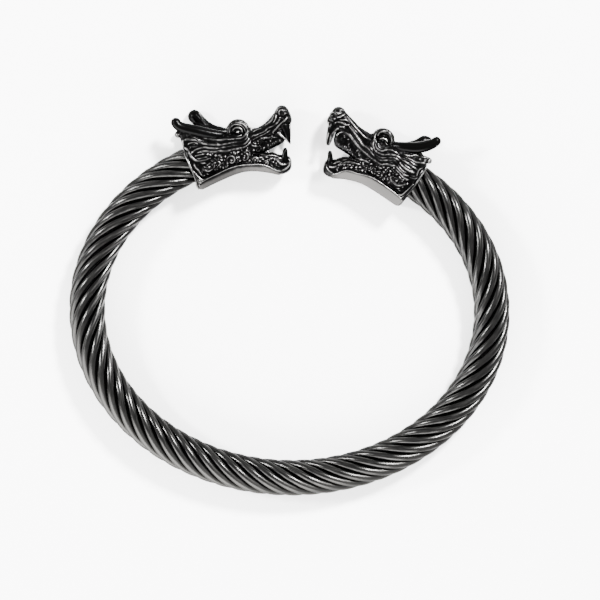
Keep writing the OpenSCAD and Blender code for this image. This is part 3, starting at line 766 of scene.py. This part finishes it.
def curl_paths(form, curls):
    """Lines wound as small spirals on the side of a form."""
    for x, y, ring, radius in curls:
        z = on_side(form, x, y).z - radius * CURL_SUNK
        yield coil(
            (x, y, z), steps=15, start=200, by=34,
            reach=lambda step: ring * (1 - 0.055 * step), thick=lambda step: radius * (1 - 0.03 * step),
        )


def crumbs(form, area, short, count, width):
    """Small bent marks strewn over an area, the same ones each time."""
    chance = random.Random(11)
    across, lows, highs = np.array(area).T
    paths = []
    for _ in range(count):
        x = chance.uniform(across[0], across[-1])
        low, high = np.interp(x, across, lows), np.interp(x, across, highs)
        x, y = casting_moves((x, chance.uniform(low, high)), short)
        way, bend, reach = chance.uniform(0, 6.28), chance.uniform(-1.2, 1.2), chance.uniform(1.4, 2.6) * width
        radius = chance.uniform(0.75, 1.1) * width
        path = []
        for step in (-1, 0, 1):
            a = way + bend * step
            at = laid(form, x + reach * step * math.cos(a), y + reach * step * math.sin(a), radius)
            path.append((*at, radius * (0.6 if step else 1)))
        paths.append(path)
    return tube("crumbs", paths)


def ball(name, at, radii):
    deselect()
    bpy.ops.mesh.primitive_uv_sphere_add(segments=24, ring_count=14, location=at, scale=radii)
    return named(name)


def horn(name, path):
    """Horn that sweeps back from behind the brow and bends up to its rounded tip."""
    *tip, radius = path[-1]
    return join(name, tube("stem", [path], sides=12, steps=6), ball("tip", tip, (radius, radius, radius)))


def hood(x, y):
    """Round hood of the brow, with the socket of the eye inside it."""
    deselect()
    bpy.ops.mesh.primitive_cylinder_add(vertices=48, radius=BROW_RADIUS, depth=1.6, location=(x, y, 0.95))
    socket = named("socket")
    rim = coil(
        (x, y, BROW_Z), steps=25, start=225, by=12,
        reach=lambda step: BROW_RADIUS, thick=lambda step: 0.34 + 0.13 * math.sin(math.pi * step / 24),
    )
    return join("hood", tube("rim", [rim], sides=6), ball("forehead", (x, y - 0.15, 0.6), FOREHEAD), socket)


def eye(x, y):
    """Eye in its socket, with a lid that coils around it."""
    lid = coil(
        (x, y, 1.8), steps=15, start=250, by=24,
        reach=lambda step: 0.98 - 0.02 * step, thick=lambda step: 0.16 if 0 < step < 14 else 0.1,
    )
    return join("eye", tube("lid", [lid], sides=6), ball("pupil", (x, y, 1.68), PUPIL))


def sections_of(rows, short):
    """Sections of a form from a table's rows, at the places where this casting has them."""
    return [(casting_moves((a, b), short), casting_moves((c, d), short), 0, half) for a, b, c, d, half in rows]


def mane_sections(short):
    """Sections of the mane's bed, on one side of the head."""
    sections = []
    for x, top, low in MANE:
        drop = np.interp(x, *zip(*MANE_MOVES)) if short else 0
        top, low = (casting_moves((x, y + drop), short) for y in (top, low))
        out = np.interp(x, *MANE_OUT)
        sections.append((top, low, (MANE_IN + out) / 2, (out - MANE_IN) / 2))
    return sections


def head(name, short, lines, curls, pearls, collar, folds, horns, brow, nose, fangs, knob):
    """One cast dragon head, in its own frame."""
    upright = [[(x, top, x, low, half) for x, top, low, half in rows] for rows in (SKULL, PALATE)]
    parts = [sweep(form, sections_of(rows, short)) for form, rows in zip(("skull", "palate", "jaw"), (*upright, JAW))]
    mane = sweep("mane", mane_sections(short), rounding=0.5)
    sides = join("sides", mane, hood(*brow[0]), *[ball("bump", at, sizes) for at, sizes in (*nose, knob)])
    body = join("body", *parts, sides, other_side(sides))
    outward_faces(body)
    finish_with(body, "REMESH", mode="VOXEL", voxel_size=VOXEL)
    roughen(body)

    bones = [horn("near_horn", horns[0]), horn("far_horn", horns[1])]
    under = plate(short)
    teeth = tube("fangs", [path for path in fangs if path[0][3] > TOOTH], sides=8)
    smooth_forms = [shape_of(under), shape_of(*bones), shape_of(teeth)]
    near = [
        eye(*brow[1]), tube("gums", [path for path in fangs if path[0][3] < TOOTH]), teeth,
        crumbs(body, CHEEK, short, *CHEEK_CRUMBS), crumbs(body, MOUTH, short, *MOUTH_CRUMBS),
        raised_lines("lines", lines, lambda x, y, radius, _: laid(body, x, y, radius)),
        tube("curls", list(curl_paths(body, curls))),
        raised_lines("crown_lines", CROWN_LINES, lambda x, z, radius, _: over(body, x, z, radius)),
    ]
    near += [ball("pearl", on_side(body, x, y), (r, r, r * 0.9)) for x, y, r in pearls]
    rim = [(*casting_moves((x, y), short), half - 0.06, 0.08) for _, _, x, y, half in PLATE[2:]]
    near.append(tube("collar", [[(*point, radius) for point in points] for radius, *points in collar] + [rim]))
    near = join("near_side", *near)
    side = -1 if short else 1
    creases = raised_lines("folds", folds, lambda x, y, *line: fold(bones[1], x, y, side, *line), FOLD_END)
    whole = join(name, near, other_side(near), creases, *bones, under, body)
    outward_faces(whole)
    finish_with(whole, "REMESH", mode="VOXEL", voxel_size=VOXEL)
    mark_forms(whole, short, *smooth_forms)
    mark_relief(whole.data)
    triangles = sum(len(face.vertices) - 2 for face in whole.data.polygons)
    finish_with(whole, "DECIMATE", ratio=HEAD_TRIANGLES / triangles)
    whole.data.validate()  # drops a face that the thinning has doubled
    edit()
    bpy.ops.mesh.dissolve_degenerate(threshold=0.003)
    bpy.ops.mesh.delete_loose()
    leave()
    return whole


def other_side(piece):
    """Copy of a piece, mirrored to the head's other side."""
    take(piece)
    bpy.ops.object.duplicate()
    twin = bpy.context.object
    edit()
    bpy.ops.transform.resize(value=(1, 1, -1), center_override=(0, 0, 0))
    leave()
    return twin


def shape_of(*pieces):
    """Search tree of the faces of some pieces."""
    points, faces = [], []
    for piece in pieces:
        start = len(points)
        points += [vertex.co.copy() for vertex in piece.data.vertices]
        faces += [[start + i for i in face.vertices] for face in piece.data.polygons]
    return BVHTree.FromPolygons(points, faces)


def roughen(piece):
    """Gives the casting its uneven skin."""
    for name, size, height in SKIN:
        clouds = bpy.data.textures.new(name, "CLOUDS")
        clouds.noise_scale = size
        clouds.noise_depth = 2
        finish_with(piece, "DISPLACE", texture=clouds, strength=height, mid_level=0.5, texture_coords="LOCAL")


def mark_forms(piece, short, under, bones, teeth):
    """Marks the satin plate and the smooth horns and fangs."""
    def touches(form, place, reach):
        return form.find_nearest(place, reach)[0] is not None

    edge_x, edge_y = np.array([casting_moves(row[2:4], short) for row in PLATE]).T
    edge_y -= SHORT_SATIN_DROP if short else SATIN_DROP
    satin, sleek = [], []
    for vertex in piece.data.vertices:
        x, y, z = vertex.co
        below = (np.interp(x, edge_x, edge_y) - y) / SATIN_FADE
        tip = (edge_x[-1] + TIP_REACH - x) / TIP_FADE
        satin.append(clamped(below) * clamped(tip) if below > 0 and touches(under, vertex.co, PLATE_NEAR) else 0)
        on_horn = y > HORN_ROOT and touches(bones, vertex.co, HORN_NEAR)
        sleek.append(1 if on_horn or touches(teeth, Vector((x, y, abs(z))), TOOTH_NEAR) else 0)
    floats(piece.data, "satin", satin)
    floats(piece.data, "sleek", sleek)


def mark_relief(mesh):
    """Writes how far each point lies below the surface smoothed around it, finely and broadly, in millimetres."""
    co, normal = read(mesh.vertices, "co", 3), read(mesh.vertices, "normal", 3)
    a, b = read(mesh.edges, "vertices", 2, np.int32).T
    count = len(co)
    neighbours = np.bincount(a, minlength=count) + np.bincount(b, minlength=count)
    flat = co.copy()
    for step in range(1, BROAD_STEPS + 1):
        total = [np.bincount(a, flat[b, k], count) + np.bincount(b, flat[a, k], count) for k in range(3)]
        flat = (1 - SMOOTHING) * flat + SMOOTHING * np.stack(total, axis=1) / neighbours[:, None]
        if step in (FINE_STEPS, BROAD_STEPS):
            floats(mesh, "fine_depth" if step == FINE_STEPS else "broad_depth", ((flat - co) * normal).sum(axis=1))


# ---------------- finishes

def grey(value):
    return value, value, value, 1


OXIDE = grey(0.002)
WIRE_DARK, WIRE_PALE = grey(0.008), (0.028, 0.0275, 0.0265, 1)
# Painted sheen for the cable's lower-left outside, standing in for reflected light, and the bright crest line, worn
# polish that also paints in a highlight
WIRE_PAINTED_SHEEN, WIRE_BRIGHT = (0.037, 0.0362, 0.0346, 1), (0.5, 0.49, 0.48, 1)
CAST_SKIN, CAST_SLEEK = grey(0.007), grey(0.003)
CAST_BRIGHT, CAST_SATIN = (0.17, 0.167, 0.163, 1), (0.038, 0.0368, 0.0355, 1)


def feed(tree, made, values):
    """Sets a node's inputs to plain values, or links them where a value is another node's output."""
    for key, value in values.items():
        if isinstance(value, bpy.types.NodeSocket):
            tree.links.new(value, made.inputs[key])
        else:
            made.inputs[key].default_value = value


def node(tree, kind, values=(), **settings):
    made = tree.nodes.new("ShaderNode" + kind)
    for key, value in settings.items():
        setattr(made, key, value)
    feed(tree, made, dict(values))
    return made


def noise(tree, place, scale, detail, roughness=0.5):
    values = {"Vector": place, "Scale": scale, "Detail": detail, "Roughness": roughness}
    return node(tree, "TexNoise", values).outputs["Fac"]


def group(name, numbers, outputs):
    """New shader node group, with a place and some numbers going in and masks or heights coming out."""
    tree = bpy.data.node_groups.new(name, "ShaderNodeTree")
    tree.interface.new_socket("Place", in_out="INPUT", socket_type="NodeSocketVector")
    for label, value in numbers.items():
        tree.interface.new_socket(label, in_out="INPUT", socket_type="NodeSocketFloat").default_value = value
    for label in outputs:
        tree.interface.new_socket(label, in_out="OUTPUT", socket_type="NodeSocketFloat")
    return tree, tree.nodes.new("NodeGroupInput").outputs, tree.nodes.new("NodeGroupOutput")


def blackening():
    """Where the black oxide stays and where wear has polished it off, broken up by a patchy noise."""
    numbers = {"Raised": 0, "Sunk": 0, "Patch size": 900, "Patchiness": 0.5}
    tree, come, go = group("Blackening", numbers, ("Oxide", "Polish"))
    patches = noise(tree, come["Place"], come["Patch size"], detail=4, roughness=0.6)
    spread = node(tree, "MapRange", {"Value": patches, "From Min": 0.35, "From Max": 0.62}).outputs["Result"]
    kept = node(tree, "Math", {0: spread, 1: come["Patchiness"]}, operation="MULTIPLY").outputs[0]
    worn = node(tree, "Math", {0: 1, 1: kept}, operation="SUBTRACT").outputs[0]
    polish = node(tree, "Math", {0: come["Raised"], 1: worn}, operation="MULTIPLY", use_clamp=True).outputs[0]
    feed(tree, go, {"Oxide": come["Sunk"], "Polish": polish})
    return tree


def grain():
    """Fine bumps and scratches of worked metal, as a height."""
    tree, come, go = group("Metal grain", {"Pit size": 6000, "Wave size": 1500}, ("Height",))
    pits = noise(tree, come["Place"], come["Pit size"], detail=3)
    waves = noise(tree, come["Place"], come["Wave size"], detail=2)
    feed(tree, go, {"Height": node(tree, "Math", {0: pits, 1: 0.5, 2: waves}, operation="MULTIPLY_ADD").outputs[0]})
    return tree


BLACKENING, GRAIN = blackening(), grain()


def material(name):
    made = bpy.data.materials.new(name)
    made.use_nodes = True
    return made, made.node_tree, made.node_tree.nodes["Principled BSDF"]


def marked(tree, name, output="Fac"):
    """What the mesh was marked with under a name."""
    return node(tree, "Attribute", attribute_name=name).outputs[output]


def on_object(tree):
    return node(tree, "TexCoord").outputs["Object"]


def ranged(tree, source, low, high):
    """Brings a value between two limits smoothly to 0 to 1."""
    limits = {"Value": source, "From Min": low, "From Max": high}
    return node(tree, "MapRange", limits, interpolation_type="SMOOTHSTEP").outputs["Result"]


def mixed(tree, factor, first, second):
    """Mix of two numbers, or of two colours where the second isn't a number."""
    kind, a, b, out = ("FLOAT", 2, 3, 0) if isinstance(second, (int, float)) else ("RGBA", 6, 7, 2)
    return node(tree, "Mix", {0: factor, a: first, b: second}, data_type=kind).outputs[out]


def blackened(tree, place, **values):
    """Where oxide and polish lie on a metal; the names of the values are those of the group."""
    values = {name.replace("_", " "): value for name, value in values.items()}
    return node(tree, "Group", {"Place": place, **values}, node_tree=BLACKENING).outputs


def metal_surface(tree, shader, place, colour, rough, strength, depth, tint=1, sizes=()):
    """Colour and roughness of a metal, with the bumps of its grain as deep as given, in metres."""
    height = node(tree, "Group", {"Place": place, **dict(sizes)}, node_tree=GRAIN).outputs["Height"]
    bump = node(tree, "Bump", {"Strength": strength, "Distance": depth, "Height": height}).outputs["Normal"]
    feed(tree, shader, {"Base Color": colour, "Roughness": rough, "Metallic": 1, "Normal": bump})
    shader.inputs["Specular Tint"].default_value = grey(tint)


def wire_metal():
    """Round steel wire, black in the lay's grooves, with a bright band along its crest that is worn polish and also a
    painted highlight, and a painted sheen on the outside facing the lower left.
    """
    made, tree, shader = material("blackened wire")
    lay, painted_sheen = marked(tree, "lay", "Vector"), marked(tree, "painted_sheen")
    out = node(tree, "SeparateXYZ", {"Vector": lay}).outputs["Y"]
    # The streaks are long along the wire and short round it
    place = node(tree, "Mapping", {"Vector": lay, "Scale": (0.25, 3.2, 3.2)}).outputs["Vector"]
    # The outermost crest of each wire is worn bright, and this thin line also paints in the highlight along the wire
    crest = ranged(tree, out, 0.88 * WIRE_RADIUS, WIRE_RADIUS)
    groove = ranged(tree, out, 0.02 * WIRE_RADIUS, -0.42 * WIRE_RADIUS)
    finish = blackened(tree, place, Raised=crest, Sunk=groove, Patch_size=1.6, Patchiness=0.7)
    streaks = ranged(tree, noise(tree, place, scale=2.6, detail=3, roughness=0.65), 0.35, 0.72)
    body = mixed(tree, streaks, WIRE_DARK, WIRE_PALE)
    # Painted sheen: the outside facing the lower left is paler and rougher, standing in for light reflected from there
    skin = mixed(tree, painted_sheen, body, WIRE_PAINTED_SHEEN)
    colour = mixed(tree, finish["Oxide"], mixed(tree, finish["Polish"], skin, WIRE_BRIGHT), OXIDE)
    rough = mixed(tree, finish["Oxide"], mixed(tree, painted_sheen, 0.21, 0.4), 0.55)
    sizes = {"Pit size": 9, "Wave size": 3}
    metal_surface(tree, shader, place, colour, rough, strength=0.3, depth=0.00003, tint=0.5, sizes=sizes)
    return made


def cast_metal():
    """Cast metal: black in its hollows, dark over its forms, bright on worn edges, satin grey underneath."""
    made, tree, shader = material("blackened casting")
    fine, broad, satin, sleek = (marked(tree, name) for name in ("fine_depth", "broad_depth", "satin", "sleek"))
    place = on_object(tree)
    edges = mixed(tree, sleek, ranged(tree, fine, -0.009, -0.026), 0)
    hollows = ranged(tree, broad, -0.05, 0.01)
    finish = blackened(tree, place, Raised=edges, Sunk=hollows, Patch_size=900, Patchiness=0.5)
    dark = mixed(tree, finish["Polish"], mixed(tree, sleek, CAST_SKIN, CAST_SLEEK), CAST_BRIGHT)
    colour = mixed(tree, satin, mixed(tree, finish["Oxide"], dark, OXIDE), CAST_SATIN)
    rough = mixed(tree, satin, mixed(tree, sleek, 0.3, 0.22), 0.42)
    metal_surface(tree, shader, place, colour, rough, strength=0.3, depth=0.00004, tint=0.5)
    return made


def core_metal():
    """The hidden core, which is black between the wires."""
    made, tree, shader = material("oxidised core")
    place = on_object(tree)
    colour = mixed(tree, blackened(tree, place, Raised=0.1)["Polish"], grey(0.012), grey(0.06))
    metal_surface(tree, shader, place, colour, rough=0.5, strength=0.2, depth=0.00003)
    return made


def floor_finish():
    made, tree, shader = material("pale floor")
    colour = mixed(tree, noise(tree, on_object(tree), scale=6, detail=2), grey(0.9), grey(0.92))
    feed(tree, shader, {"Base Color": colour, "Roughness": 0.85, "Specular IOR Level": 0.2})
    return made


# ---------------- the bangle

wire_look, cast_look, core_look = wire_metal(), cast_metal(), core_metal()

for number in range(1, WIRES + 1):
    piece = wire(number)
    settle(piece, Matrix.Identity(4), wire_look)
    bpy.ops.object.shade_smooth_by_angle(angle=math.radians(50))
    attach(piece, "root")
    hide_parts(f"strand_{number}")

heads = (
    ("left_dragon", "left_head", False, LEFT_DROP, LEFT_LINES, LEFT_CURLS, LEFT_PEARLS, LEFT_COLLAR, LEFT_FOLDS,
     LEFT_HORNS, LEFT_BROW, LEFT_NOSE, LEFT_FANGS, LEFT_KNOB),
    ("right_dragon", "right_head", True, RIGHT_DROP, RIGHT_LINES, RIGHT_CURLS, RIGHT_PEARLS, RIGHT_COLLAR, RIGHT_FOLDS,
     RIGHT_HORNS, RIGHT_BROW, RIGHT_NOSE, RIGHT_FANGS, RIGHT_KNOB),
)
for name, cad_name, short, drop, *details in heads:
    piece = head(name, short, *details)
    share, way = ENDS[short]
    forward = facing(share, way)
    up = Vector((-forward.y, forward.x, 0)) * -way
    place = Matrix((forward, up, forward.cross(up))).transposed().to_4x4()
    place.translation = middle(share) - up * drop
    settle(piece, place, cast_look)
    bpy.ops.object.shade_smooth()
    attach(piece, "root")
    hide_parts(cad_name)

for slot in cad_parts["core"].material_slots:
    slot.material = core_look

# ---------------- floor, light and camera

deselect()
bpy.ops.mesh.primitive_plane_add(size=3, location=(0, 0, 0))
floor = named("floor")
floor.data.materials.append(floor_finish())

for name, at, size, power in LIGHTS:
    bpy.ops.object.light_add(type="AREA", location=at)
    lamp = named(name)
    lamp.data.shape = "RECTANGLE"
    lamp.data.size, lamp.data.size_y = size
    lamp.data.energy = power
    lamp.rotation_euler = (-Vector(at)).to_track_quat("-Z", "Y").to_euler()

world = bpy.data.worlds.new("studio")
bpy.context.scene.world = world
world.use_nodes = True
feed(world.node_tree, world.node_tree.nodes["Background"], {"Color": grey(1), "Strength": SKY_STRENGTH})

at = AIM + Vector((0, math.sin(TILT), math.cos(TILT))) * REACH
bpy.ops.object.camera_add(location=at)
camera = bpy.context.object
view = (AIM - at).normalized()
right = view.cross(Vector((0, 1, 0))).normalized()
up = right.cross(view)
camera.matrix_world = Matrix.Translation(at) @ Matrix((right, up, -view)).transposed().to_4x4()
camera.data.lens = camera.data.sensor_width * REACH / (FRAME_WIDTH * MM)
camera.data.clip_start = 0.01
bpy.context.scene.camera = camera
